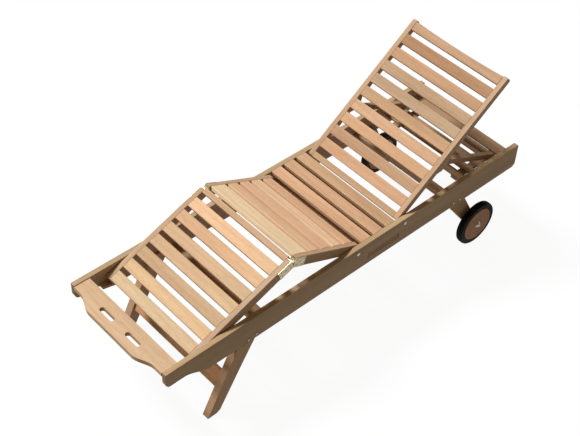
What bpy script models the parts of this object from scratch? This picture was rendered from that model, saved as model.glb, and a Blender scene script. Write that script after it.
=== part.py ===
# Reclining garden sun lounger in hardwood.
#
# Frame of the finished part: metres, +Z up, +Y from the foot end to the head end,
# +X to the sitter's right-hand side as seen from the foot.  The origin is the middle
# of the footprint, on the ground.
#
# The lounger is modelled in its rest position: backrest raised on its prop, knee
# raised by the coupled thigh and calf panels, tray pushed in.
import math
import bpy
import bmesh
from mathutils import Matrix, Vector

# ------------------------------------------------------------------ driving dimensions
LENGTH = 2.000            # side rails, foot end to head end
RAIL_OUT = 0.3015         # outer face of a side rail
RAIL_T = 0.024            # side rail thickness
RAIL_IN = RAIL_OUT - RAIL_T
RAIL_DEPTH = 0.1245  # side rail depth
RAIL_TOE = 0.0785  # rail depth at the foot end
TOP_H = 0.445  # height of the rail top over the ground
GAP = 0.0003              # clearance between pieces that meet
Y_MID = 0.9835            # rail-frame Y of the footprint's middle

STILE_OUT = 0.274         # outer face of every folding panel's stiles
STILE_T = 0.024
STILE_IN = STILE_OUT - STILE_T
SLAT_T = 0.019  # slat thickness

BACK_ANGLE = 36.58  # backrest above horizontal
BACK_PIVOT = (1.2693, -0.0233)
BACK_DEPTH = 0.0233  # pivot below the backrest's top surface
BACK_LEN = 0.7425
BACK_STILE_D = 0.0305
BACK_SLAT_W = 0.0495
BACK_PITCH = 0.0722

THIGH_ANGLE = 24.75  # thigh panel, falling towards the head end
THIGH_PIVOT = (0.9945, -0.0262)
THIGH_DEPTH = 0.0262
THIGH_REACH = 0.3883  # pivot to the knee line, along the panel
PANEL_D = 0.046  # depth of the thigh and calf stiles

CALF_ANGLE = 21.62  # calf panel, falling towards the foot end
PIN_DEPTH = 0.020         # knee pin below the top surfaces
PIN_S = 0.00857  # knee pin from the knee line, along either panel
CALF_END = 0.546          # calf panel length from the knee line
CALF_PITCH = 0.0718

PROP_S = 0.288  # prop pivot along the backrest
PROP_Z = -0.012           # prop pivot in the backrest's frame
PROP_LEN = 0.4309
PROP_FOLD = 62.08  # prop angle from the backrest at rest

AXLE_Y, AXLE_Z = 1.766, -0.334
WHEEL_R = 0.111
DISC_R = 0.0830
AXLE_R = 0.006

# ------------------------------------------------------------------ scene and materials
for ob in list(bpy.data.objects):
    bpy.data.objects.remove(ob, do_unlink=True)


def material(name, rgb, rough, metal=0.0):
    m = bpy.data.materials.new(name)
    m.use_nodes = True
    b = m.node_tree.nodes["Principled BSDF"]
    b.inputs["Base Color"].default_value = (rgb[0], rgb[1], rgb[2], 1.0)
    b.inputs["Roughness"].default_value = rough
    b.inputs["Metallic"].default_value = metal
    m.diffuse_color = (rgb[0], rgb[1], rgb[2], 1.0)
    return m


WOOD = material("oiled_hardwood", (0.62, 0.42, 0.26), 0.62)
WOOD_PINK = material("oiled_hardwood_pink", (0.66, 0.42, 0.29), 0.62)
WOOD_PALE = material("oiled_hardwood_pale", (0.70, 0.52, 0.33), 0.62)
WOOD_RED = material("oiled_hardwood_red", (0.36, 0.20, 0.11), 0.65)
BRASS = material("brass", (0.70, 0.55, 0.28), 0.32, 1.0)
STEEL = material("zinc_steel", (0.62, 0.62, 0.60), 0.35, 1.0)
RUBBER = material("black_rubber", (0.02, 0.02, 0.022), 0.75)


def empty(name, loc, rot_x=0.0, parent=None):
    e = bpy.data.objects.new(name, None)
    bpy.context.scene.collection.objects.link(e)
    e.parent = parent
    e.location = loc
    e.rotation_euler = (math.radians(rot_x), 0.0, 0.0)
    return e


def finish_mesh(name, bm, mat, parent, loc=(0, 0, 0)):
    bmesh.ops.remove_doubles(bm, verts=bm.verts, dist=1e-7)
    bmesh.ops.recalc_face_normals(bm, faces=bm.faces)
    me = bpy.data.meshes.new(name)
    bm.to_mesh(me)
    bm.free()
    if mat is not None:
        me.materials.append(mat)
    ob = bpy.data.objects.new(name, me)
    bpy.context.scene.collection.objects.link(ob)
    ob.parent = parent
    ob.location = loc
    return ob


def ring_to_prism(ring_a, ring_b):
    bm = bmesh.new()
    a = [bm.verts.new(p) for p in ring_a]
    b = [bm.verts.new(p) for p in ring_b]
    n = len(a)
    bm.faces.new(a)
    bm.faces.new(list(reversed(b)))
    for i in range(n):
        j = (i + 1) % n
        bm.faces.new((a[i], b[i], b[j], a[j]))
    return bm


def prism_x(name, outline, x0, x1, mat, parent):
    """Solid with a (y, z) outline, running along X."""
    bm = ring_to_prism([(x0, y, z) for y, z in outline], [(x1, y, z) for y, z in outline])
    return finish_mesh(name, bm, mat, parent)


def prism_z(name, outline, z0, z1, mat, parent):
    """Solid with an (x, y) outline, running along Z."""
    bm = ring_to_prism([(x, y, z0) for x, y in outline], [(x, y, z1) for x, y in outline])
    return finish_mesh(name, bm, mat, parent)


def turn_x(name, profile, segs, mat, parent, loc=(0, 0, 0), closed=False):
    """Solid turned about X from a profile of (x, r); an open profile starts and ends at r = 0."""
    bm = bmesh.new()
    rings = []
    for x, r in profile:
        if r <= 1e-9:
            rings.append([bm.verts.new((x, 0.0, 0.0))])
        else:
            rings.append([bm.verts.new((x, r * math.cos(2 * math.pi * k / segs), r * math.sin(2 * math.pi * k / segs)))
                          for k in range(segs)])
    pairs = list(zip(rings[:-1], rings[1:]))
    if closed:
        pairs.append((rings[-1], rings[0]))
    for a, b in pairs:
        for k in range(segs):
            j = (k + 1) % segs
            if len(a) == 1:
                bm.faces.new((a[0], b[k], b[j]))
            elif len(b) == 1:
                bm.faces.new((a[k], b[0], a[j]))
            else:
                bm.faces.new((a[k], b[k], b[j], a[j]))
    ob = finish_mesh(name, bm, mat, parent, loc)
    ob.data.shade_smooth()
    ob.data.set_sharp_from_angle(angle=math.radians(35))
    return ob


def arc(cy, cz, r, a0, a1, n):
    """Points of an arc in degrees, about (cy, cz)."""
    out = []
    for k in range(n + 1):
        a = math.radians(a0 + (a1 - a0) * k / n)
        out.append((cy + r * math.cos(a), cz + r * math.sin(a)))
    return out


def rounded_box(y0, y1, z0, z1, r, n=2):
    """Counter-clockwise outline of a board's section with rounded edges."""
    pts = []
    pts += arc(y1 - r, z0 + r, r, -90, 0, n)
    pts += arc(y1 - r, z1 - r, r, 0, 90, n)
    pts += arc(y0 + r, z1 - r, r, 90, 180, n)
    pts += arc(y0 + r, z0 + r, r, 180, 270, n)
    return pts


def smooth(t):
    t = min(1.0, max(0.0, t))
    return t * t * (3.0 - 2.0 * t)


def bevel(ob, width=0.0015, segs=1, angle=40.0):
    m = ob.modifiers.new("edge_round", "BEVEL")
    m.width = width
    m.segments = segs
    m.limit_method = 'ANGLE'
    m.angle_limit = math.radians(angle)
    m.use_clamp_overlap = True
    return m


def boolean(ob, tool, op='DIFFERENCE'):
    tool.hide_render = True
    tool.display_type = 'WIRE'
    m = ob.modifiers.new("bool_" + tool.name, "BOOLEAN")
    m.operation = op
    m.solver = 'EXACT'
    m.object = tool


def rod_tool(name, y, z, r, x0, x1, parent, segs=16):
    bm = ring_to_prism([(x0, y + r * math.cos(2 * math.pi * k / segs), z + r * math.sin(2 * math.pi * k / segs)) for k in range(segs)],
                       [(x1, y + r * math.cos(2 * math.pi * k / segs), z + r * math.sin(2 * math.pi * k / segs)) for k in range(segs)])
    return finish_mesh(name, bm, None, parent)


def box_tool(name, lo, hi, parent):
    bm = ring_to_prism([(lo[0], lo[1], lo[2]), (hi[0], lo[1], lo[2]), (hi[0], hi[1], lo[2]), (lo[0], hi[1], lo[2])],
                       [(lo[0], lo[1], hi[2]), (hi[0], lo[1], hi[2]), (hi[0], hi[1], hi[2]), (lo[0], hi[1], hi[2])])
    return finish_mesh(name, bm, None, parent)


def mirror_range(sx, a, b):
    """X limits of a piece on side sx, low first."""
    return (a, b) if sx > 0 else (-b, -a)


SIDES = ((1, "right"), (-1, "left"))
base = empty("rail_frame", (0.0, -Y_MID, TOP_H))

# ------------------------------------------------------------------ side rails
TRAY_Y0, TRAY_Y1 = 1.0557, 1.2390
TRAY_Z0, TRAY_Z1 = -0.0900, -0.0630


def rail_outline():
    pts = [(0.0, 0.0)]
    # toe: vertical, then a quarter ellipse into the shallow underside
    for k in range(7):
        a = math.pi / 2 * k / 6
        pts.append((0.020 - 0.020 * math.cos(a), -0.053 - (RAIL_TOE - 0.053) * math.sin(a)))
    # S-curve down to full depth
    for k in range(13):
        t = k / 12
        pts.append((0.085 + 0.130 * t, -RAIL_TOE - (RAIL_DEPTH - RAIL_TOE) * smooth(t)))
    pts.append((LENGTH - 0.015, -RAIL_DEPTH))
    pts.append((LENGTH, -0.1115))
    pts += [(LENGTH - 0.007 + 0.007 * math.cos(math.radians(a)), -0.007 + 0.007 * math.sin(math.radians(a))) for a in (0, 30, 60, 90)]
    return pts


for sx, side in SIDES:
    x0, x1 = mirror_range(sx, RAIL_IN, RAIL_OUT)
    rail = prism_x("rail_" + side, rail_outline(), x0, x1, WOOD, base)
    bevel(rail, 0.0018, 2, 40)
    for tag, (py, pz), r in (("thigh", THIGH_PIVOT, 0.0048), ("back", BACK_PIVOT, 0.0043)):
        boolean(rail, rod_tool("cut_rail_%s_%s" % (tag, side), py, pz, r, x0 - 0.01, x1 + 0.01, base))
    if sx > 0:
        boolean(rail, box_tool("cut_tray_slot", (x0 - 0.01, TRAY_Y0, TRAY_Z0), (x1 + 0.01, TRAY_Y1, TRAY_Z1), base))

# ------------------------------------------------------------------ handle board
HB_T = 0.022
HB_TOP = -0.004


def handle_outline():
    half = RAIL_IN - GAP
    edge = []
    n = 40
    for k in range(n + 1):
        x = -half + 2 * half * k / n
        edge.append((x, -0.033 + 0.032 * smooth((abs(x) - 0.135) / 0.100)))
    return edge + [(half, 0.0735), (-half, 0.0735)]


hb = prism_z("handle_board", handle_outline(), HB_TOP - HB_T, HB_TOP, WOOD_PALE, base)
for sx, side in SIDES:
    cx, cy, r, half = 0.0815 * sx, 0.0155, 0.0108, 0.0425 - 0.0108
    out = [(cx + half + r * math.cos(math.radians(a)), cy + r * math.sin(math.radians(a))) for a in range(-90, 91, 20)]
    out += [(cx - half + r * math.cos(math.radians(a)), cy + r * math.sin(math.radians(a))) for a in range(90, 271, 20)]
    boolean(hb, prism_z("cut_hand_slot_" + side, out, HB_TOP - HB_T - 0.01, HB_TOP + 0.01, None, base))
bevel(hb, 0.0025, 2, 35)

# ------------------------------------------------------------------ fixed boards between the rails
SPAN = RAIL_IN - GAP
for k in range(3):
    y = 1.0338 + 0.071 * k
    prism_x("seat_slat_%d" % (k + 1), rounded_box(y, y + 0.054, -SLAT_T, 0.0, 0.003), -SPAN, SPAN,
            (WOOD_PINK, WOOD, WOOD_PINK)[k], base)

prism_x("rack_crossbar", rounded_box(1.539, 1.584, -0.0784, -0.0594, 0.003), -SPAN, SPAN, WOOD, base)
prism_x("cross_member", rounded_box(0.480, 0.545, -0.1242, -0.1005, 0.003), -SPAN, SPAN, WOOD, base)
prism_x("tray_support", rounded_box(1.075, 1.220, -0.1020, -0.0892, 0.002), -SPAN, SPAN, WOOD, base)

# rack: five slats on two battens, one glued unit
RACK_TOP = -0.0594
RACK_T = 0.012
rack_cuts = [(1.6826, 1.7195), (1.7446, 1.7825), (1.8076, 1.8465), (1.8726, 1.9110), (1.9366, 1.9970)]
rack = prism_x("rack_grating", rounded_box(rack_cuts[0][0], rack_cuts[0][1], RACK_TOP - RACK_T, RACK_TOP, 0.0025), -SPAN, SPAN, WOOD, base)
for sx, side in SIDES:
    a, b = mirror_range(sx, 0.190, 0.222)
    boolean(rack, box_tool("join_batten_" + side, (a, 1.6846, RACK_TOP - 0.028), (b, 1.995, RACK_TOP - RACK_T + 0.0005), base), 'UNION')
for k, (y0, y1) in enumerate(rack_cuts[1:]):
    boolean(rack, prism_x("join_rack_%d" % (k + 2), rounded_box(y0, y1, RACK_TOP - RACK_T, RACK_TOP, 0.0025), -SPAN, SPAN, None, base), 'UNION')

# ------------------------------------------------------------------ front legs and stretcher
LEG_X0 = 0.2675
LEG_FRONT = ((0.3485, -RAIL_DEPTH), (0.1955, -TOP_H))
LEG_BACK = ((0.4365, -RAIL_DEPTH), (0.2600, -0.4335))
for sx, side in SIDES:
    out = [LEG_FRONT[1], (0.2415, -TOP_H), LEG_BACK[1], (0.3640, -0.248), LEG_BACK[0],
           (0.4630, -RAIL_DEPTH), (0.4630, -0.087), (0.4570, -0.081), (0.3585, -0.081), (0.3525, -0.087), LEG_FRONT[0]]
    x0, x1 = mirror_range(sx, LEG_X0, RAIL_OUT)
    leg = prism_x("front_leg_" + side, out, x0, x1, WOOD, base)
    a, b = mirror_range(sx, RAIL_IN - GAP, RAIL_OUT + 0.02)
    boolean(leg, box_tool("cut_leg_rebate_" + side, (a, 0.30, -RAIL_DEPTH - GAP), (b, 0.50, -0.03), base))
    bevel(leg, 0.0018, 2, 30)

lu = Vector((LEG_FRONT[1][0] - LEG_FRONT[0][0], LEG_FRONT[1][1] - LEG_FRONT[0][1])).normalized()
ln = Vector((-lu.y, lu.x))
if ln.x < 0:
    ln = -ln
sc = Vector((0.2714, -0.286)) + ln * 0.018
corners = [(-0.0385, -0.010), (0.0385, -0.010), (0.0385, 0.010), (-0.0385, 0.010)]
st = prism_x("leg_stretcher", [tuple(sc + lu * a + ln * b) for a, b in corners], -LEG_X0 + GAP, LEG_X0 - GAP, WOOD_RED, base)
bevel(st, 0.002, 2, 40)

# ------------------------------------------------------------------ rear legs, axle, wheels
for sx, side in SIDES:
    r = 0.0275
    out = [(1.5722, -RAIL_DEPTH), (1.5722, -0.0880), (1.5782, -0.0822), (1.6560, -0.0822), (1.6620, -0.0880), (1.6786, -RAIL_DEPTH)]
    out += arc(AXLE_Y, AXLE_Z, r, 28, -152, 12)
    x0, x1 = mirror_range(sx, 0.2475, RAIL_IN - GAP)
    leg = prism_x("rear_leg_" + side, out, x0, x1, WOOD, base)
    boolean(leg, rod_tool("cut_axle_bore_" + side, AXLE_Y, AXLE_Z, AXLE_R + GAP, x0 - 0.01, x1 + 0.01, base, 20))
    bevel(leg, 0.0018, 2, 40)

half_axle = [(0.0, AXLE_R), (0.2472, AXLE_R), (0.2776, AXLE_R), (0.2777, 0.011), (0.2916, 0.011), (0.2917, AXLE_R),
             (0.3283, AXLE_R), (0.3284, 0.0110), (0.3335, 0.0110), (0.3340, 0.0085), (0.3375, 0.0060), (0.3385, 0.0)]
turn_x("axle", [(-x, r) for x, r in reversed(half_axle)] + half_axle[1:], 20, STEEL, base, (0, AXLE_Y, AXLE_Z))

for sx, side in SIDES:
    hub = empty("wheel_axis_" + side, (0.0, AXLE_Y, AXLE_Z), 0.0, base)
    disc = [(0.2922, AXLE_R + GAP), (0.3280, AXLE_R + GAP), (0.3280, DISC_R - 0.0025), (0.3255, DISC_R), (0.2945, DISC_R), (0.2922, DISC_R - 0.0025)]
    turn_x("wheel_disc_" + side, [(sx * x, r) for x, r in disc], 40, WOOD_RED, hub, closed=True)
    tyre = [(0.2922, DISC_R + GAP), (0.3262, DISC_R + GAP), (0.3270, WHEEL_R - 0.0140), (0.3262, WHEEL_R - 0.0080),
            (0.3235, WHEEL_R - 0.0030), (0.3180, WHEEL_R - 0.0005), (0.3092, WHEEL_R), (0.3004, WHEEL_R - 0.0005),
            (0.2949, WHEEL_R - 0.0030), (0.2922, WHEEL_R - 0.0080)]
    turn_x("tyre_" + side, [(sx * x, r) for x, r in tyre], 48, RUBBER, hub, closed=True)

# ------------------------------------------------------------------ sliding tray
tray_axis = empty("tray_slide", (0.0, 0.0, 0.0), 0.0, base)
tray_out = [(-0.2700, 1.0577), (0.3008, 1.0577), (0.3008, 1.2370), (-0.2700, 1.2370)]
tray = prism_z("tray", tray_out, -0.0882, -0.0650, WOOD, tray_axis)
hole = [(0.004 + 0.028 * math.cos(2 * math.pi * k / 32), 1.147 + 0.028 * math.sin(2 * math.pi * k / 32)) for k in range(32)]
boolean(tray, prism_z("cut_glass_hole", hole, -0.10, -0.04, None, tray_axis))
bevel(tray, 0.0012, 1, 40)

# ------------------------------------------------------------------ backrest
back = empty("backrest_pivot", (0.0,) + BACK_PIVOT, BACK_ANGLE, base)


def back_stile_outline():
    top, bot = BACK_DEPTH, BACK_DEPTH - BACK_STILE_D
    lug = PROP_Z - 0.013
    pts = arc(-0.013 + 0.007, bot + 0.007, 0.007, 180, 270, 3)
    pts += [(PROP_S - 0.044, bot), (PROP_S - 0.020, lug), (PROP_S + 0.020, lug), (PROP_S + 0.044, bot)]
    pts += arc(BACK_LEN - 0.008, bot + 0.008, 0.008, 270, 360, 3)
    pts += arc(BACK_LEN - 0.010, top - 0.010, 0.010, 0, 90, 3)
    pts += arc(-0.013 + 0.006, top - 0.006, 0.006, 90, 180, 3)
    return pts


for sx, side in SIDES:
    x0, x1 = mirror_range(sx, STILE_IN, STILE_OUT)
    s = prism_x("back_stile_" + side, back_stile_outline(), x0, x1, WOOD, back)
    boolean(s, rod_tool("cut_back_bore_" + side, 0.0, 0.0, 0.0043, x0 - 0.01, x1 + 0.01, back))
    a, b = (x0 - 0.01, x1 - 0.004) if sx > 0 else (x0 + 0.004, x1 + 0.01)
    boolean(s, rod_tool("cut_prop_bore_" + side, PROP_S, PROP_Z, 0.0048, a, b, back))
    bevel(s, 0.0015, 1, 40)

SLAT_SPAN = STILE_IN - GAP
SLAT_MATS = (WOOD_PINK, WOOD, WOOD_PALE)
prism_x("back_slat_01", rounded_box(-0.014, 0.0145, BACK_DEPTH - 0.0145, BACK_DEPTH, 0.005, 3), -SLAT_SPAN, SLAT_SPAN, WOOD_PALE, back)
for k in range(9):
    y = 0.0432 + BACK_PITCH * k
    prism_x("back_slat_%02d" % (k + 2), rounded_box(y, y + BACK_SLAT_W, BACK_DEPTH - SLAT_T, BACK_DEPTH, 0.003),
            -SLAT_SPAN, SLAT_SPAN, SLAT_MATS[(k * 2) % 3], back)
# the top slat has a slightly hollow upper edge
y0 = 0.0432 + BACK_PITCH * 9
crest = [(SLAT_SPAN - 2 * SLAT_SPAN * k / 16, 0.7365 - 0.006 * (1 - (1 - k / 8) ** 2)) for k in range(17)]
top_slat = prism_z("back_slat_11", [(-SLAT_SPAN, y0), (SLAT_SPAN, y0)] + crest, BACK_DEPTH - SLAT_T, BACK_DEPTH, WOOD_PINK, back)
bevel(top_slat, 0.003, 2, 50)

rod = [(0.0, 0.004), (0.3016, 0.004), (0.3017, 0.0085), (0.3040, 0.0080), (0.3052, 0.0050), (0.3056, 0.0)]
turn_x("back_pivot_rod", [(-x, r) for x, r in reversed(rod)] + rod[1:], 16, STEEL, base, (0.0,) + BACK_PIVOT)

# ------------------------------------------------------------------ prop frame under the backrest
prop = empty("prop_pivot", (0.0, PROP_S, PROP_Z), -PROP_FOLD, back)
PROP_R = 0.012


def stadium(length, r, n=6):
    return arc(length, 0.0, r, -90, 90, n) + arc(0.0, 0.0, r, 90, 270, n)


frame = prism_x("prop_frame", stadium(PROP_LEN, PROP_R), 0.2225, 0.2465, WOOD, prop)
boolean(frame, prism_x("join_prop_left", stadium(PROP_LEN, PROP_R), -0.2465, -0.2225, None, prop), 'UNION')
boolean(frame, rod_tool("join_prop_foot", PROP_LEN, 0.0, 0.0117, -0.235, 0.235, prop, 20), 'UNION')
boolean(frame, box_tool("join_prop_rail", (-0.235, 0.200, -0.009), (0.235, 0.236, 0.009), prop), 'UNION')
for sx, side in SIDES:
    a, b = mirror_range(sx, 0.2400, 0.2680)
    boolean(frame, rod_tool("join_prop_pin_" + side, 0.0, 0.0, 0.0045, a, b, prop, 16), 'UNION')
frame.data.shade_smooth()
frame.data.set_sharp_from_angle(angle=math.radians(35))

# ------------------------------------------------------------------ thigh panel
thigh = empty("thigh_pivot", (0.0,) + THIGH_PIVOT, -THIGH_ANGLE, base)
PIN_Y = -THIGH_REACH + PIN_S
PIN_Z = THIGH_DEPTH - PIN_DEPTH
END_GAP = 0.0079          # stile end face to the knee pin


def thigh_stile_outline():
    top, bot = THIGH_DEPTH, THIGH_DEPTH - PANEL_D
    pts = [(PIN_Y + END_GAP, PIN_Z - 0.014), (PIN_Y + 0.0122, bot)]
    pts += arc(0.0195 - 0.012, bot + 0.012, 0.012, 270, 360, 3)
    pts += arc(0.0195 - 0.008, top - 0.008, 0.008, 0, 90, 3)
    pts += arc(PIN_Y + END_GAP + 0.004, top - 0.004, 0.004, 90, 180, 2)
    return pts


for sx, side in SIDES:
    x0, x1 = mirror_range(sx, STILE_IN, STILE_OUT)
    s = prism_x("thigh_stile_" + side, thigh_stile_outline(), x0, x1, WOOD, thigh)
    boolean(s, rod_tool("cut_thigh_bore_" + side, 0.0, 0.0, 0.0048, x0 - 0.01, x1 + 0.01, thigh))
    bevel(s, 0.0015, 1, 40)

for k, (s0, s1) in enumerate(((0.0240, 0.1040), (0.1213, 0.1753), (0.1930, 0.2470), (0.2645, 0.3185), (0.3360, 0.3900))):
    prism_x("thigh_slat_%d" % (k + 1), rounded_box(s0 - THIGH_REACH, s1 - THIGH_REACH, THIGH_DEPTH - SLAT_T + 0.001, THIGH_DEPTH, 0.003),
            -SLAT_SPAN, SLAT_SPAN, SLAT_MATS[(k + 1) % 3], thigh)

rod = [(0.0, 0.0045), (0.3016, 0.0045), (0.3017, 0.0090), (0.3042, 0.0082), (0.3054, 0.0050), (0.3058, 0.0)]
turn_x("thigh_pivot_rod", [(-x, r) for x, r in reversed(rod)] + rod[1:], 16, STEEL, base, (0.0,) + THIGH_PIVOT)

# ------------------------------------------------------------------ calf panel, hinged at the knee
calf = empty("knee_pivot", (0.0, PIN_Y, PIN_Z), THIGH_ANGLE + CALF_ANGLE, thigh)
CT = PIN_DEPTH            # top surface in the calf frame


def calf_y(s):
    return -(s - PIN_S)


def calf_stile_outline():
    top, bot = CT, CT - PANEL_D
    pts = [(-0.0122, bot), (-END_GAP, -0.014)]
    pts += arc(-END_GAP - 0.004, top - 0.004, 0.004, 0, 90, 2)
    pts += arc(calf_y(CALF_END) + 0.005, top - 0.005, 0.005, 90, 180, 3)
    pts += arc(calf_y(CALF_END) + 0.005, bot + 0.005, 0.005, 180, 270, 3)
    return pts


for sx, side in SIDES:
    x0, x1 = mirror_range(sx, STILE_IN, STILE_OUT)
    s = prism_x("calf_stile_" + side, calf_stile_outline(), x0, x1, WOOD, calf)
    bevel(s, 0.0015, 1, 40)

prism_x("calf_slat_8", rounded_box(calf_y(0.032), calf_y(0.005), CT - 0.016, CT, 0.005, 3), -SLAT_SPAN, SLAT_SPAN, WOOD_PINK, calf)
for k in range(7):
    s0 = 0.0598 + CALF_PITCH * k
    prism_x("calf_slat_%d" % (7 - k), rounded_box(calf_y(s0 + 0.0516), calf_y(s0), CT - SLAT_T, CT, 0.003),
            -SLAT_SPAN, SLAT_SPAN, SLAT_MATS[(k + 2) % 3], calf)

# ------------------------------------------------------------------ knee hinges: side leaf, end tab, barrel
PLATE = (STILE_OUT + GAP, STILE_OUT + 0.0023)
for sx, side in SIDES:
    # thigh leaf, with the pin
    top, bot = THIGH_DEPTH - 0.001, THIGH_DEPTH - PANEL_D + 0.001
    out = [(PIN_Y + 0.0060, PIN_Z - 0.012), (PIN_Y + 0.0118, bot), (PIN_Y + 0.0650, bot), (PIN_Y + 0.0650, top), (PIN_Y + 0.0060, top)]
    x0, x1 = mirror_range(sx, *PLATE)
    leaf = prism_x("knee_leaf_thigh_" + side, out, x0, x1, BRASS, thigh)
    a, b = mirror_range(sx, STILE_IN + 0.0002, PLATE[1] - 0.0002)
    boolean(leaf, box_tool("join_tab_t_" + side, (a, PIN_Y + 0.0060, PIN_Z - 0.0080), (b, PIN_Y + 0.0076, top), thigh), 'UNION')
    a, b = mirror_range(sx, 0.2635, PLATE[1] - 0.0004)
    boolean(leaf, rod_tool("join_barrel_t_" + side, PIN_Y, PIN_Z, 0.0052, a, b, thigh, 16), 'UNION')
    a, b = mirror_range(sx, 0.2640, PLATE[1] - 0.0009)
    boolean(leaf, box_tool("join_web_t_" + side, (a, PIN_Y, PIN_Z - 0.003), (b, PIN_Y + 0.0068, PIN_Z + 0.003), thigh), 'UNION')
    a, b = mirror_range(sx, STILE_IN + 0.0004, 0.2700)
    boolean(leaf, rod_tool("join_pin_t_" + side, PIN_Y, PIN_Z, 0.0028, a, b, thigh, 12), 'UNION')
    # calf leaf, whose barrel turns on the pin
    top, bot = CT - 0.001, CT - PANEL_D + 0.001
    out = [(-0.0790, bot), (-0.0118, bot), (-0.0060, -0.012), (-0.0060, top), (-0.0790, top)]
    x0, x1 = mirror_range(sx, *PLATE)
    leaf = prism_x("knee_leaf_calf_" + side, out, x0, x1, BRASS, calf)
    a, b = mirror_range(sx, STILE_IN + 0.0002, PLATE[1] - 0.0002)
    boolean(leaf, box_tool("join_tab_c_" + side, (a, -0.0076, -0.0080), (b, -0.0060, top), calf), 'UNION')
    a, b = mirror_range(sx, STILE_IN + 0.0003, 0.2630)
    boolean(leaf, rod_tool("join_barrel_c_" + side, 0.0, 0.0, 0.0052, a, b, calf, 16), 'UNION')
    a, b = mirror_range(sx, STILE_IN + 0.0008, 0.2625)
    boolean(leaf, box_tool("join_web_c_" + side, (a, -0.0068, -0.003), (b, 0.0, 0.003), calf), 'UNION')
    a, b = mirror_range(sx, STILE_IN - 0.003, 0.2632)
    boolean(leaf, rod_tool("cut_pin_c_" + side, 0.0, 0.0, 0.0031, a, b, calf, 12))

# ------------------------------------------------------------------ cleats that carry the calf panel's foot end

# The calf stile's rounded lower corner (radius 5 mm) comes down beside the rail along a nearly
# straight path while the panel is close to its raised position; a straight cleat follows that
# path 0.7 mm or more below the corner and ends before the path steepens.
REST_Y0, REST_Y1 = 0.1150, 0.1870


def rest_top(y):
    return -0.0773 - 0.0061 + (0.1650 - y) * 0.2601


upper = [(REST_Y0, rest_top(REST_Y0)), (REST_Y1 - 0.004, rest_top(REST_Y1 - 0.004)), (REST_Y1, rest_top(REST_Y1) - 0.003)]
lower = [(y, z - 0.011) for y, z in upper]
for sx, side in SIDES:
    x0, x1 = mirror_range(sx, 0.2530, RAIL_IN - GAP)
    prism_x("calf_rest_" + side, lower + list(reversed(upper)), x0, x1, WOOD, base)
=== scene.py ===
import math
import bpy
import bmesh
from mathutils import Matrix, Vector


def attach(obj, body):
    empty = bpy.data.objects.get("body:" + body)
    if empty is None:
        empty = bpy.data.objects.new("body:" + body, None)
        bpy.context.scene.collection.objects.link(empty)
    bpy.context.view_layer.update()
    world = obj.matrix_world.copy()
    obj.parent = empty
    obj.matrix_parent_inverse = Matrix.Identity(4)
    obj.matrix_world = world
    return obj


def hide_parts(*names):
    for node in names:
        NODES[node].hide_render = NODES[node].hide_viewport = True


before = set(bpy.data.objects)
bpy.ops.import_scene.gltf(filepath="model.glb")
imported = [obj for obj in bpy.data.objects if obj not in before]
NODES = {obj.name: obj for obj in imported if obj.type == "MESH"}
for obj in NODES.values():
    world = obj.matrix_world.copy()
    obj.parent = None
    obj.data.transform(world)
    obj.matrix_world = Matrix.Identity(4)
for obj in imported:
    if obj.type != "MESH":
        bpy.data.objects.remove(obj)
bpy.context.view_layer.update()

# The part's own frame: rail_y is the distance from the rails' foot end, rail_z the height over the rails' top.
Y_MID, TOP_H = 0.9835, 0.445
RAIL_X = 0.3015


def rail(x, y, z):
    return Vector((x, y - Y_MID, z + TOP_H))


BACK_A, THIGH_A, CALF_A = 36.58, -24.75, 21.62


# ------------------------------------------------------------------ node helpers
def new_material(name):
    m = bpy.data.materials.new(name)
    m.use_nodes = True
    nt = m.node_tree
    nt.nodes.clear()
    out = nt.nodes.new("ShaderNodeOutputMaterial")
    bsdf = nt.nodes.new("ShaderNodeBsdfPrincipled")
    nt.links.new(bsdf.outputs[0], out.inputs[0])
    return m, nt, bsdf


def node(nt, kind, **props):
    n = nt.nodes.new(kind)
    for k, v in props.items():
        setattr(n, k, v)
    return n


def mapping(nt, src, scale=(1, 1, 1), rot=(0, 0, 0), loc=(0, 0, 0)):
    m = node(nt, "ShaderNodeMapping")
    m.inputs["Scale"].default_value = scale
    m.inputs["Rotation"].default_value = rot
    m.inputs["Location"].default_value = loc
    nt.links.new(src, m.inputs["Vector"])
    return m.outputs[0]


def noise(nt, vec, scale, detail=2.0, rough=0.5, distortion=0.0):
    n = node(nt, "ShaderNodeTexNoise")
    n.inputs["Scale"].default_value = scale
    n.inputs["Detail"].default_value = detail
    n.inputs["Roughness"].default_value = rough
    n.inputs["Distortion"].default_value = distortion
    nt.links.new(vec, n.inputs["Vector"])
    return n.outputs["Fac"]


def remap(nt, val, a, b, c=0.0, d=1.0):
    n = node(nt, "ShaderNodeMapRange")
    n.inputs["From Min"].default_value = a
    n.inputs["From Max"].default_value = b
    n.inputs["To Min"].default_value = c
    n.inputs["To Max"].default_value = d
    nt.links.new(val, n.inputs["Value"])
    return n.outputs[0]


def math_node(nt, op, a, b=None, clamp=False):
    n = node(nt, "ShaderNodeMath", operation=op, use_clamp=clamp)
    for i, v in enumerate((a, b)):
        if v is None:
            continue
        if isinstance(v, (int, float)):
            n.inputs[i].default_value = v
        else:
            nt.links.new(v, n.inputs[i])
    return n.outputs[0]


def mix_rgb(nt, fac, a, b, mode="MIX"):
    n = node(nt, "ShaderNodeMix", data_type='RGBA', blend_type=mode)
    n.clamp_factor = True
    for sock, v in ((n.inputs[0], fac), (n.inputs[6], a), (n.inputs[7], b)):
        if isinstance(v, (int, float)):
            sock.default_value = v
        elif isinstance(v, tuple):
            sock.default_value = (v[0], v[1], v[2], 1.0)
        else:
            nt.links.new(v, sock)
    return n.outputs[2]


def lin(rgb):
    """8-bit display colour to linear."""
    out = []
    for c in rgb:
        c /= 255.0
        out.append(c / 12.92 if c <= 0.04045 else ((c + 0.055) / 1.055) ** 2.4)
    return tuple(out)


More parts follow.
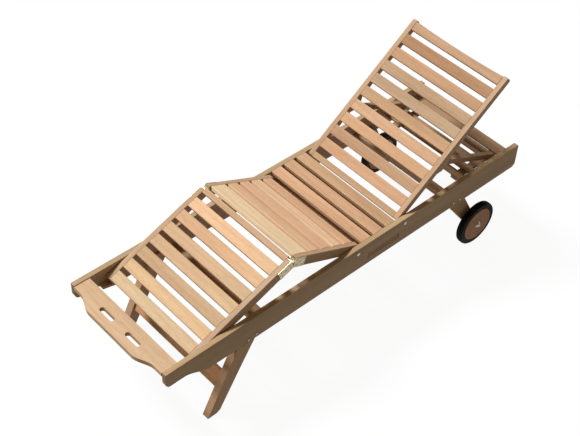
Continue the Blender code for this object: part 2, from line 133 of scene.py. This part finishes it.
def scaled(rgb, *k):
    if len(k) == 1:
        k = k * 3
    return tuple(min(1.0, c * f) for c, f in zip(rgb, k))


# ------------------------------------------------------------------ wood
def wood(name, tone, grain="X", tilt=0.0, seed=0.0, figure=0.5, redness=0.0, rough=0.58, rim=None):
    """Oiled hardwood. tone is the linear mean colour, grain the board's long axis before a tilt in degrees about X."""
    m, nt, bsdf = new_material(name)
    tc = node(nt, "ShaderNodeTexCoord")
    base = tc.outputs["Object"]
    if tilt:
        base = mapping(nt, base, rot=(math.radians(-tilt), 0, 0))
    off = (seed * 3.17, seed * 5.71, seed * 2.39)
    along = {"X": 0, "Y": 1, "Z": 2}[grain]

    def stretch(a, c, thin=None):
        s = [c, c, c if thin is None else thin]
        s[along] = a
        return mapping(nt, base, scale=tuple(s), loc=off)

    # slow change of tone along and across the board
    slow = noise(nt, stretch(1.6, 9.0), 1.0, 2.0, 0.55)
    # growth rings: distance across the log, bent by a slow noise, gives long arched bands
    warp = noise(nt, stretch(2.2, 5.0), 1.0, 1.5, 0.5)
    sep = node(nt, "ShaderNodeSeparateXYZ")
    nt.links.new(stretch(1.0, 1.0), sep.inputs[0])
    across = [i for i in (0, 1, 2) if i != along]
    ring_d = math_node(nt, 'ADD', math_node(nt, 'MULTIPLY', sep.outputs[across[0]], 95.0 + 20.0 * math.sin(seed * 7.0)),
                       math_node(nt, 'MULTIPLY', sep.outputs[across[1]], 38.0))
    ring_d = math_node(nt, 'ADD', ring_d, math_node(nt, 'MULTIPLY', warp, 9.0))
    ring = math_node(nt, 'SINE', math_node(nt, 'MULTIPLY', ring_d, 2.0))
    ring = remap(nt, ring, -1.0, 1.0)
    ring = math_node(nt, 'POWER', ring, 2.2)
    # fibres and pores
    fibre = noise(nt, stretch(5.0, 330.0), 1.0, 3.0, 0.6)
    streak = noise(nt, stretch(1.3, 70.0), 1.0, 3.0, 0.6, 0.3)
    pore = noise(nt, stretch(28.0, 950.0), 1.0, 1.0, 0.5)
    pores = remap(nt, pore, 0.60, 0.70)

    dark = scaled(tone, 0.80, 0.76, 0.71)
    pale = scaled(tone, 1.13, 1.13, 1.12)
    c = mix_rgb(nt, remap(nt, slow, 0.30, 0.70), dark, pale)
    pink = scaled(tone, 1.07 + redness * 0.1, 0.955, 0.93)
    c = mix_rgb(nt, remap(nt, warp, 0.35, 0.70, 0.0, 0.55), c, pink)
    c = mix_rgb(nt, math_node(nt, 'MULTIPLY', ring, figure * 0.42), c, scaled(tone, 0.66, 0.56, 0.48))
    c = mix_rgb(nt, remap(nt, streak, 0.42, 0.72, 0.0, 0.34), c, scaled(tone, 0.74, 0.66, 0.58))
    c = mix_rgb(nt, remap(nt, fibre, 0.35, 0.70, 0.0, 0.30), c, scaled(tone, 1.16, 1.15, 1.12))
    c = mix_rgb(nt, math_node(nt, 'MULTIPLY', pores, 0.38), c, scaled(tone, 0.40, 0.32, 0.26))
    # sawn ends soak up the oil and look darker
    nrm = node(nt, "ShaderNodeSeparateXYZ")
    nv = tc.outputs["Normal"]
    if tilt:
        nv = mapping(nt, nv, rot=(math.radians(-tilt), 0, 0))
    nt.links.new(nv, nrm.inputs[0])
    end = remap(nt, math_node(nt, 'ABSOLUTE', nrm.outputs[along]), 0.72, 0.95)
    endn = noise(nt, mapping(nt, base, scale=(260, 260, 260), loc=off), 1.0, 2.0, 0.6)
    endc = mix_rgb(nt, remap(nt, endn, 0.3, 0.7), scaled(tone, 0.52, 0.43, 0.35), scaled(tone, 0.80, 0.70, 0.60))
    c = mix_rgb(nt, end, c, endc)
    # arrises rubbed paler, where the rounded-over normal leaves the flat one
    bev = node(nt, "ShaderNodeBevel", samples=4)
    bev.inputs["Radius"].default_value = 0.0016
    geo = node(nt, "ShaderNodeNewGeometry")
    dot = node(nt, "ShaderNodeVectorMath", operation='DOT_PRODUCT')
    nt.links.new(bev.outputs[0], dot.inputs[0])
    nt.links.new(geo.outputs["Normal"], dot.inputs[1])
    wear = remap(nt, dot.outputs["Value"], 0.995, 0.80, 0.0, 0.40)
    wear = math_node(nt, 'MULTIPLY', wear, remap(nt, streak, 0.30, 0.60, 0.35, 1.0))
    c = mix_rgb(nt, wear, c, scaled(tone, 1.22, 1.21, 1.18))
    if rim:
        # a painted highlight: a paler, whiter band round the bevel of a turned disc: hub (y, z), inner and outer radius
        sr = node(nt, "ShaderNodeSeparateXYZ")
        nt.links.new(tc.outputs["Object"], sr.inputs[0])
        dy = math_node(nt, 'SUBTRACT', sr.outputs[1], rim[0])
        dz = math_node(nt, 'SUBTRACT', sr.outputs[2], rim[1])
        rr = math_node(nt, 'SQRT', math_node(nt, 'ADD', math_node(nt, 'MULTIPLY', dy, dy), math_node(nt, 'MULTIPLY', dz, dz)))
        band = remap(nt, rr, rim[2], rim[2] + 0.0015)
        c = mix_rgb(nt, math_node(nt, 'MULTIPLY', band, 0.65), c, scaled(tone, 1.75, 2.0, 2.3))
        near = remap(nt, rr, 0.030, 0.014, 0.0, 0.35)
        c = mix_rgb(nt, near, c, scaled(tone, 0.55, 0.5, 0.45))
    nt.links.new(c, bsdf.inputs["Base Color"])
    r = math_node(nt, 'ADD', remap(nt, fibre, 0.3, 0.7, rough - 0.07, rough + 0.09), math_node(nt, 'MULTIPLY', pores, 0.12), clamp=True)
    nt.links.new(r, bsdf.inputs["Roughness"])
    bsdf.inputs["Specular IOR Level"].default_value = 0.12
    h = math_node(nt, 'SUBTRACT', math_node(nt, 'ADD', math_node(nt, 'MULTIPLY', fibre, 0.6), math_node(nt, 'MULTIPLY', streak, 0.5)),
                  math_node(nt, 'MULTIPLY', pores, 0.55))
    bump = node(nt, "ShaderNodeBump")
    bump.inputs["Strength"].default_value = 0.42
    bump.inputs["Distance"].default_value = 0.0005
    nt.links.new(h, bump.inputs["Height"])
    nt.links.new(bump.outputs[0], bsdf.inputs["Normal"])
    return m


# ------------------------------------------------------------------ metal and rubber
def brass(name, seed=0.0, tone=(0.66, 0.56, 0.36)):
    m, nt, bsdf = new_material(name)
    tc = node(nt, "ShaderNodeTexCoord")
    v = mapping(nt, tc.outputs["Object"], loc=(seed, seed * 2, seed * 3))
    blot = noise(nt, v, 90.0, 4.0, 0.6)
    brush = noise(nt, mapping(nt, v, scale=(900, 60, 900)), 1.0, 2.0, 0.6)
    c = mix_rgb(nt, remap(nt, blot, 0.35, 0.68), scaled(tone, 0.68, 0.64, 0.60), scaled(tone, 1.12, 1.12, 1.15))
    c = mix_rgb(nt, remap(nt, blot, 0.62, 0.75, 0.0, 0.5), c, (0.30, 0.20, 0.10))
    nt.links.new(c, bsdf.inputs["Base Color"])
    nt.links.new(remap(nt, brush, 0.3, 0.7, 0.30, 0.52), bsdf.inputs["Roughness"])
    bsdf.inputs["Metallic"].default_value = 0.60
    bump = node(nt, "ShaderNodeBump")
    bump.inputs["Strength"].default_value = 0.25
    bump.inputs["Distance"].default_value = 0.0002
    nt.links.new(math_node(nt, 'ADD', blot, brush), bump.inputs["Height"])
    nt.links.new(bump.outputs[0], bsdf.inputs["Normal"])
    return m


def steel(name, tone=(0.72, 0.71, 0.66), rough=0.3, seed=0.0):
    m, nt, bsdf = new_material(name)
    tc = node(nt, "ShaderNodeTexCoord")
    v = mapping(nt, tc.outputs["Object"], loc=(seed, seed * 2, seed * 3))
    blot = noise(nt, v, 140.0, 3.0, 0.6)
    fine = noise(nt, v, 1500.0, 2.0, 0.6)
    c = mix_rgb(nt, remap(nt, blot, 0.3, 0.7), scaled(tone, 0.78), scaled(tone, 1.10))
    nt.links.new(c, bsdf.inputs["Base Color"])
    nt.links.new(remap(nt, fine, 0.3, 0.7, rough - 0.06, rough + 0.12), bsdf.inputs["Roughness"])
    bsdf.inputs["Metallic"].default_value = 0.9
    bump = node(nt, "ShaderNodeBump")
    bump.inputs["Strength"].default_value = 0.2
    bump.inputs["Distance"].default_value = 0.0001
    nt.links.new(fine, bump.inputs["Height"])
    nt.links.new(bump.outputs[0], bsdf.inputs["Normal"])
    return m


def rubber(name):
    m, nt, bsdf = new_material(name)
    tc = node(nt, "ShaderNodeTexCoord")
    dust = noise(nt, tc.outputs["Object"], 38.0, 4.0, 0.65)
    grain = noise(nt, tc.outputs["Object"], 900.0, 2.0, 0.6)
    c = mix_rgb(nt, remap(nt, dust, 0.42, 0.72), (0.0030, 0.0031, 0.0034), (0.0105, 0.0100, 0.0095))
    nt.links.new(c, bsdf.inputs["Base Color"])
    nt.links.new(remap(nt, dust, 0.3, 0.7, 0.52, 0.74), bsdf.inputs["Roughness"])
    bsdf.inputs["Specular IOR Level"].default_value = 0.08
    bump = node(nt, "ShaderNodeBump")
    bump.inputs["Strength"].default_value = 0.35
    bump.inputs["Distance"].default_value = 0.0003
    nt.links.new(grain, bump.inputs["Height"])
    nt.links.new(bump.outputs[0], bsdf.inputs["Normal"])
    return m


# ------------------------------------------------------------------ paint the CAD nodes
def assign(name, mat):
    ob = NODES[name]
    if not ob.material_slots:
        ob.data.materials.append(mat)
    for s in ob.material_slots:
        s.link = 'OBJECT'
        s.material = mat


# mean board colours, as seen in full light
EXPOSE = 0.93
TAN = (212, 170, 133)
TONES = {
    "back_slat_01": (206, 166, 128),
    "back_slat_02": (220, 172, 135), "back_slat_03": (208, 164, 129), "back_slat_04": (225, 178, 137),
    "back_slat_05": (216, 172, 135), "back_slat_06": (210, 167, 128), "back_slat_07": (202, 167, 134),
    "back_slat_08": (205, 167, 133), "back_slat_09": (210, 164, 126), "back_slat_10": (190, 144, 106),
    "back_slat_11": (210, 167, 132),
    "thigh_slat_1": (236, 203, 165), "thigh_slat_2": (220, 180, 143), "thigh_slat_3": (221, 178, 143),
    "thigh_slat_4": (226, 189, 153), "thigh_slat_5": (212, 171, 136),
    "calf_slat_8": (214, 172, 134), "calf_slat_7": (240, 194, 152), "calf_slat_6": (230, 183, 142),
    "calf_slat_5": (222, 183, 143), "calf_slat_4": (222, 182, 142), "calf_slat_3": (212, 174, 135),
    "calf_slat_2": (228, 188, 143), "calf_slat_1": (218, 184, 145),
    "seat_slat_1": (220, 174, 137), "seat_slat_2": (214, 171, 134), "seat_slat_3": (210, 169, 132),
    "handle_board": (222, 186, 149),
    "rack_grating": (206, 166, 128), "rack_crossbar": (208, 166, 128),
    "back_stile_right": (214, 175, 142), "back_stile_left": (206, 168, 134),
    "thigh_stile_right": (200, 163, 129), "thigh_stile_left": (208, 171, 140),
    "calf_stile_right": (208, 172, 140), "calf_stile_left": (206, 169, 135),
    "rail_right": (200, 166, 128), "rail_left": (198, 166, 131),
}
LEG_TILT = math.degrees(math.atan2(-0.3205, -0.153)) % 180.0
REAR_TILT = math.degrees(math.atan2(-0.2095, 0.1445)) % 180.0


def tone_of(name):
    light_shade_paint_gain = 1.0
    # painted light: the thigh slats are made 24% paler than their listed colours, standing in for light their tilted
    # faces get too little of from the key
    if name.startswith("thigh_slat"):
        light_shade_paint_gain = 1.24
    # painted shade: the rack grating, rack crossbar, prop frame, tray support and cross member are made 26% darker,
    # standing in for the backrest's shadow over them
    elif name in ("rack_grating", "rack_crossbar", "prop_frame", "tray_support", "cross_member"):
        light_shade_paint_gain = 0.74
    return scaled(lin(TONES.get(name, TAN)), EXPOSE * light_shade_paint_gain * 0.985, EXPOSE * light_shade_paint_gain * 1.025, EXPOSE * light_shade_paint_gain * 1.08)


k = 0
for name in sorted(NODES):
    k += 1
    seed = 0.37 * k + 0.11
    if name.startswith("knee_leaf"):
        assign(name, brass("brass_" + name, seed))
    elif name in ("axle", "thigh_pivot_rod", "back_pivot_rod"):
        assign(name, steel("steel_" + name, (0.52, 0.49, 0.42), 0.40, seed=seed))
    elif name.startswith("tyre"):
        assign(name, rubber("rubber_" + name))
    elif name.startswith("wheel_disc"):
        assign(name, wood("wood_" + name, scaled(lin((176, 124, 80)), 1.0), "Z", 0.0, seed, 0.9, 0.9, 0.5,
                          (1.766 - Y_MID, -0.334 + TOP_H, 0.0775)))
    elif name == "leg_stretcher":
        assign(name, wood("wood_" + name, scaled(lin((214, 162, 120)), EXPOSE), "X", 0.0, seed, 0.6, 0.8))
    elif name.startswith("back_stile"):
        assign(name, wood("wood_" + name, tone_of(name), "Y", BACK_A, seed, 0.5))
    elif name.startswith("thigh_stile"):
        assign(name, wood("wood_" + name, tone_of(name), "Y", THIGH_A, seed, 0.5))
    elif name.startswith("calf_stile"):
        assign(name, wood("wood_" + name, tone_of(name), "Y", CALF_A, seed, 0.5))
    elif name.startswith("front_leg"):
        assign(name, wood("wood_" + name, tone_of(name), "Y", LEG_TILT, seed, 0.5))
    elif name.startswith("rear_leg"):
        assign(name, wood("wood_" + name, tone_of(name), "Y", REAR_TILT, seed, 0.5))
    elif name.startswith("rail_"):
        assign(name, wood("wood_" + name, tone_of(name), "Y", 0.0, seed, 0.45))
    elif name == "prop_frame":
        assign(name, wood("wood_" + name, tone_of(name), "Y", BACK_A - 62.08, seed, 0.5))
    elif name.startswith("calf_rest"):
        assign(name, wood("wood_" + name, tone_of(name), "Y", -26.0, seed, 0.4))
    elif name.startswith("back_slat"):
        assign(name, wood("wood_" + name, tone_of(name), "X", BACK_A, seed, 0.5))
    elif name.startswith("thigh_slat"):
        assign(name, wood("wood_" + name, tone_of(name), "X", THIGH_A, seed, 0.5))
    elif name.startswith("calf_slat"):
        assign(name, wood("wood_" + name, tone_of(name), "X", CALF_A, seed, 0.5))
    else:
        assign(name, wood("wood_" + name, tone_of(name), "X", 0.0, seed, 0.5))


# ------------------------------------------------------------------ small hardware, as real geometry
def mesh_object(name, bm, mat, smooth=40.0):
    bmesh.ops.remove_doubles(bm, verts=bm.verts, dist=1e-7)
    bmesh.ops.recalc_face_normals(bm, faces=bm.faces)
    me = bpy.data.meshes.new(name)
    bm.to_mesh(me)
    bm.free()
    me.shade_smooth()
    me.set_sharp_from_angle(angle=math.radians(smooth))
    me.materials.append(mat)
    ob = bpy.data.objects.new(name, me)
    bpy.context.scene.collection.objects.link(ob)
    return ob


def turn_into(bm, profile, segs, matrix):
    """Adds a solid turned about local Z from a profile of (r, z), first and last point on the axis."""
    rings = []
    for r, z in profile:
        if r < 1e-9:
            rings.append([bm.verts.new(matrix @ Vector((0, 0, z)))])
        else:
            rings.append([bm.verts.new(matrix @ Vector((r * math.cos(2 * math.pi * j / segs), r * math.sin(2 * math.pi * j / segs), z)))
                          for j in range(segs)])
    for a, b in zip(rings[:-1], rings[1:]):
        for j in range(segs):
            i = (j + 1) % segs
            if len(a) == 1:
                bm.faces.new((a[0], b[j], b[i]))
            elif len(b) == 1:
                bm.faces.new((a[j], b[0], a[i]))
            else:
                bm.faces.new((a[j], b[j], b[i], a[i]))


def along_x(point, sx):
    """Local +Z turned to point along sx * X, at a point."""
    return Matrix.Translation(point) @ Matrix.Rotation(math.radians(90.0 * sx), 4, 'Y')


def screw_profile(r, h):
    """Raised countersunk head, with a recessed centre for the driver."""
    return [(0.0, h * 0.35), (r * 0.24, h * 0.35), (r * 0.34, h * 0.95), (r * 0.62, h * 0.80), (r * 0.88, h * 0.42), (r, 0.0), (r * 0.9, -0.0004), (0.0, -0.0004)]


def bolt_profile(r, h, washer):
    return [(0.0, h), (r * 0.22, h * 0.99), (r * 0.45, h * 0.92), (r * 0.70, h * 0.72), (r * 0.90, h * 0.42), (r, 0.0012),
            (washer, 0.0010), (washer, 0.0), (0.0, 0.0)]


SIDES = ((1, "right"), (-1, "left"))
bolt_metal = steel("bolt_metal", (0.42, 0.37, 0.28), 0.42, 3.1)
counterbore_shade_paint = steel("counterbore_shade_paint", (0.075, 0.055, 0.035), 0.62, 5.2)
screw_metal = brass("screw_brass", 7.3, (0.30, 0.23, 0.13))

# leg bolts, heads on the rails' outer faces
for sx, side in SIDES:
    bm = bmesh.new()
    for y, z in ((0.404, -0.1125), (0.4447, -0.1050), (1.6265, -0.1065), (1.5870, -0.1070)):
        turn_into(bm, bolt_profile(0.0052, 0.0030, 0.0056), 20, along_x(rail(sx * RAIL_X, y, z), sx))
    b = mesh_object("leg_bolts_" + side, bm, bolt_metal)
    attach(b, "base")
    bm = bmesh.new()
    # a very dark thin disc round each bolt head: painted shade standing in for a counterbore
    for y, z in ((0.404, -0.1125), (0.4447, -0.1050), (1.6265, -0.1065), (1.5870, -0.1070)):
        turn_into(bm, [(0.0, 0.0006), (0.0076, 0.0006), (0.0084, 0.0003), (0.0085, 0.0), (0.0, 0.0)], 24, along_x(rail(sx * RAIL_X, y, z), sx))
    b = mesh_object("leg_bolt_counterbore_shade_" + side, bm, counterbore_shade_paint)
    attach(b, "base")


def panel_point(pivot, angle, x, s, h):
    """A point in a tilted panel's frame: s along the panel from its pivot, h over it."""
    a = math.radians(angle)
    return Vector((x, pivot.y + s * math.cos(a) - h * math.sin(a), pivot.z + s * math.sin(a) + h * math.cos(a)))


THIGH_PIVOT = rail(0, 0.9945, -0.0262)
PIN_S, PIN_H = -0.3883 + 0.00857, 0.0062
KNEE = panel_point(THIGH_PIVOT, THIGH_A, 0.0, PIN_S, PIN_H)

# screws in the knee leaves
for sx, side in SIDES:
    bm = bmesh.new()
    for ds, dh in ((0.020, 0.011), (0.020, -0.013), (0.037, -0.002), (0.054, 0.011), (0.054, -0.013)):
        turn_into(bm, screw_profile(0.0034, 0.0009), 16, along_x(panel_point(THIGH_PIVOT, THIGH_A, sx * 0.2763, PIN_S + ds, PIN_H + dh), sx))
    b = mesh_object("knee_screws_thigh_" + side, bm, screw_metal)
    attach(b, "thigh_panel")
    bm = bmesh.new()
    for ds, dh in ((0.022, 0.011), (0.022, -0.013), (0.043, -0.002), (0.066, 0.011), (0.066, -0.013)):
        turn_into(bm, screw_profile(0.0034, 0.0009), 16, along_x(panel_point(KNEE, CALF_A, sx * 0.2763, -ds, dh), sx))
    b = mesh_object("knee_screws_calf_" + side, bm, screw_metal)
    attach(b, "calf_panel")

# barrel ends of the knee pins, rings with a near-black disc in the middle: painted shade standing in for the bore
bore_shade_paint = steel("bore_shade_paint", (0.030, 0.024, 0.016), 0.6, 8.4)
for sx, side in SIDES:
    bm = bmesh.new()
    turn_into(bm, [(0.0, 0.0004), (0.0026, 0.0004), (0.0030, 0.0012), (0.0050, 0.0012), (0.0055, 0.0008), (0.0055, 0.0), (0.0, 0.0)], 24,
              along_x(Vector((sx * 0.2756, KNEE.y, KNEE.z)), sx))
    b = mesh_object("knee_barrel_" + side, bm, brass("barrel_brass_" + side, 4.4 + sx, (0.70, 0.60, 0.40)))
    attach(b, "thigh_panel")
    bm = bmesh.new()
    turn_into(bm, [(0.0, 0.0004), (0.0024, 0.0004), (0.0024, 0.0), (0.0, 0.0)], 16, along_x(Vector((sx * 0.27605, KNEE.y, KNEE.z)), sx))
    b = mesh_object("knee_bore_shade_" + side, bm, bore_shade_paint)
    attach(b, "thigh_panel")

# tyres: fine ring with three tread grooves and side ribs, in place of the plain ring
HUB_Y, HUB_Z, TYRE_R, DISC_R = 1.766 - Y_MID, -0.334 + TOP_H, 0.111, 0.0830
for sx, side in SIDES:
    prof = [(0.2925, DISC_R + 0.0003), (0.3259, DISC_R + 0.0003), (0.3263, TYRE_R - 0.0215), (0.3254, TYRE_R - 0.0203),
            (0.3264, TYRE_R - 0.0191), (0.3266, TYRE_R - 0.0160), (0.3258, TYRE_R - 0.0148), (0.3267, TYRE_R - 0.0136),
            (0.3260, TYRE_R - 0.0080), (0.3246, TYRE_R - 0.0046), (0.3220, TYRE_R - 0.0020), (0.3185, TYRE_R - 0.0006)]
    for gx in (0.3148, 0.3092, 0.3036):
        prof += [(gx + 0.0012, TYRE_R - 0.0001), (gx + 0.0008, TYRE_R - 0.0016), (gx - 0.0008, TYRE_R - 0.0016), (gx - 0.0012, TYRE_R - 0.0001)]
    prof += [(0.2999, TYRE_R - 0.0006), (0.2964, TYRE_R - 0.0020), (0.2938, TYRE_R - 0.0046), (0.2924, TYRE_R - 0.0080)]
    bm = bmesh.new()
    segs = 96
    rings = [[bm.verts.new((sx * x, HUB_Y + r * math.cos(2 * math.pi * j / segs), HUB_Z + r * math.sin(2 * math.pi * j / segs)))
              for j in range(segs)] for x, r in prof]
    for a, b in zip(rings, rings[1:] + rings[:1]):
        for j in range(segs):
            i = (j + 1) % segs
            bm.faces.new((a[j], b[j], b[i], a[i]))
    t = mesh_object("tyre_tread_" + side, bm, rubber("rubber_tread_" + side), 50.0)
    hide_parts("tyre_" + side)
    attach(t, "wheel_" + side)
    # washer under the axle's end nut
    bm = bmesh.new()
    turn_into(bm, [(0.0, 0.0004), (0.0085, 0.0004), (0.0150, 0.0003), (0.0155, 0.0), (0.0150, -0.0003), (0.0, -0.0003)], 28,
              along_x(Vector((sx * 0.3281, HUB_Y, HUB_Z)), sx))
    w = mesh_object("hub_washer_" + side, bm, bolt_metal)
    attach(w, "wheel_" + side)

# ------------------------------------------------------------------ floor, light, camera
bm = bmesh.new()
bmesh.ops.create_grid(bm, x_segments=1, y_segments=1, size=30.0)
floor = mesh_object("studio_floor", bm, bpy.data.materials.new("floor_paint"))
floor.location = (0, 0, -0.0008)
floor.visible_diffuse = False
fm = floor.data.materials[0]
fm.use_nodes = True
fnt = fm.node_tree
fnt.nodes.clear()
fo = fnt.nodes.new("ShaderNodeOutputMaterial")
fd = fnt.nodes.new("ShaderNodeBsdfDiffuse")
fd.inputs["Color"].default_value = (0.92, 0.92, 0.92, 1)
fe = fnt.nodes.new("ShaderNodeEmission")
fe.inputs["Color"].default_value = (1, 1, 1, 1)
fe.inputs["Strength"].default_value = 1.0
fx = fnt.nodes.new("ShaderNodeMixShader")
fx.inputs[0].default_value = 0.06
fnt.links.new(fe.outputs[0], fx.inputs[1])
fnt.links.new(fd.outputs[0], fx.inputs[2])
fnt.links.new(fx.outputs[0], fo.inputs[0])

world = bpy.data.worlds.new("studio")
bpy.context.scene.world = world
world.use_nodes = True
wn = world.node_tree
wn.nodes.clear()
wo = wn.nodes.new("ShaderNodeOutputWorld")
wb = wn.nodes.new("ShaderNodeBackground")
wb.inputs["Color"].default_value = (1.0, 0.88, 0.64, 1)
wb.inputs["Strength"].default_value = 0.205
wc = wn.nodes.new("ShaderNodeBackground")
wc.inputs["Color"].default_value = (0.97, 0.97, 0.97, 1)
lp = wn.nodes.new("ShaderNodeLightPath")
wm = wn.nodes.new("ShaderNodeMixShader")
wn.links.new(lp.outputs["Is Camera Ray"], wm.inputs[0])
wn.links.new(wb.outputs[0], wm.inputs[1])
wn.links.new(wc.outputs[0], wm.inputs[2])
wn.links.new(wm.outputs[0], wo.inputs[0])


def sun(name, toward, strength, angle, colour=(1, 1, 1)):
    d = bpy.data.lights.new(name, 'SUN')
    d.energy = strength
    d.angle = math.radians(angle)
    d.color = colour
    o = bpy.data.objects.new(name, d)
    bpy.context.scene.collection.objects.link(o)
    o.rotation_mode = 'QUATERNION'
    o.rotation_quaternion = Vector(toward).normalized().to_track_quat('Z', 'Y')
    return o


sun("key", (-0.62, -0.30, 1.0), 3.62, 14.0, (0.945, 0.99, 1.0))

# square-pixel camera at the photograph's viewpoint
CAM = (2.5663, -1.6138, 3.5938)
RV = Vector((-0.7545, -0.2948, -0.8059))
FPX = 1221.2
cam_data = bpy.data.cameras.new("camera")
cam = bpy.data.objects.new("camera", cam_data)
bpy.context.scene.collection.objects.link(cam)
world_to_cam = Matrix.Rotation(RV.length, 3, RV.normalized())
cam.matrix_world = Matrix.Translation(rail(CAM[0], CAM[1], CAM[2])) @ world_to_cam.transposed().to_4x4()
cam_data.sensor_fit = 'HORIZONTAL'
cam_data.sensor_width = 36.0
cam_data.lens = FPX * 36.0 / 580.0
cam_data.clip_start = 0.05
cam_data.clip_end = 120.0
cam_data.dof.use_dof = False
bpy.context.scene.camera = cam

bpy.context.scene.view_settings.view_transform = 'Standard'
bpy.context.scene.view_settings.look = 'None'
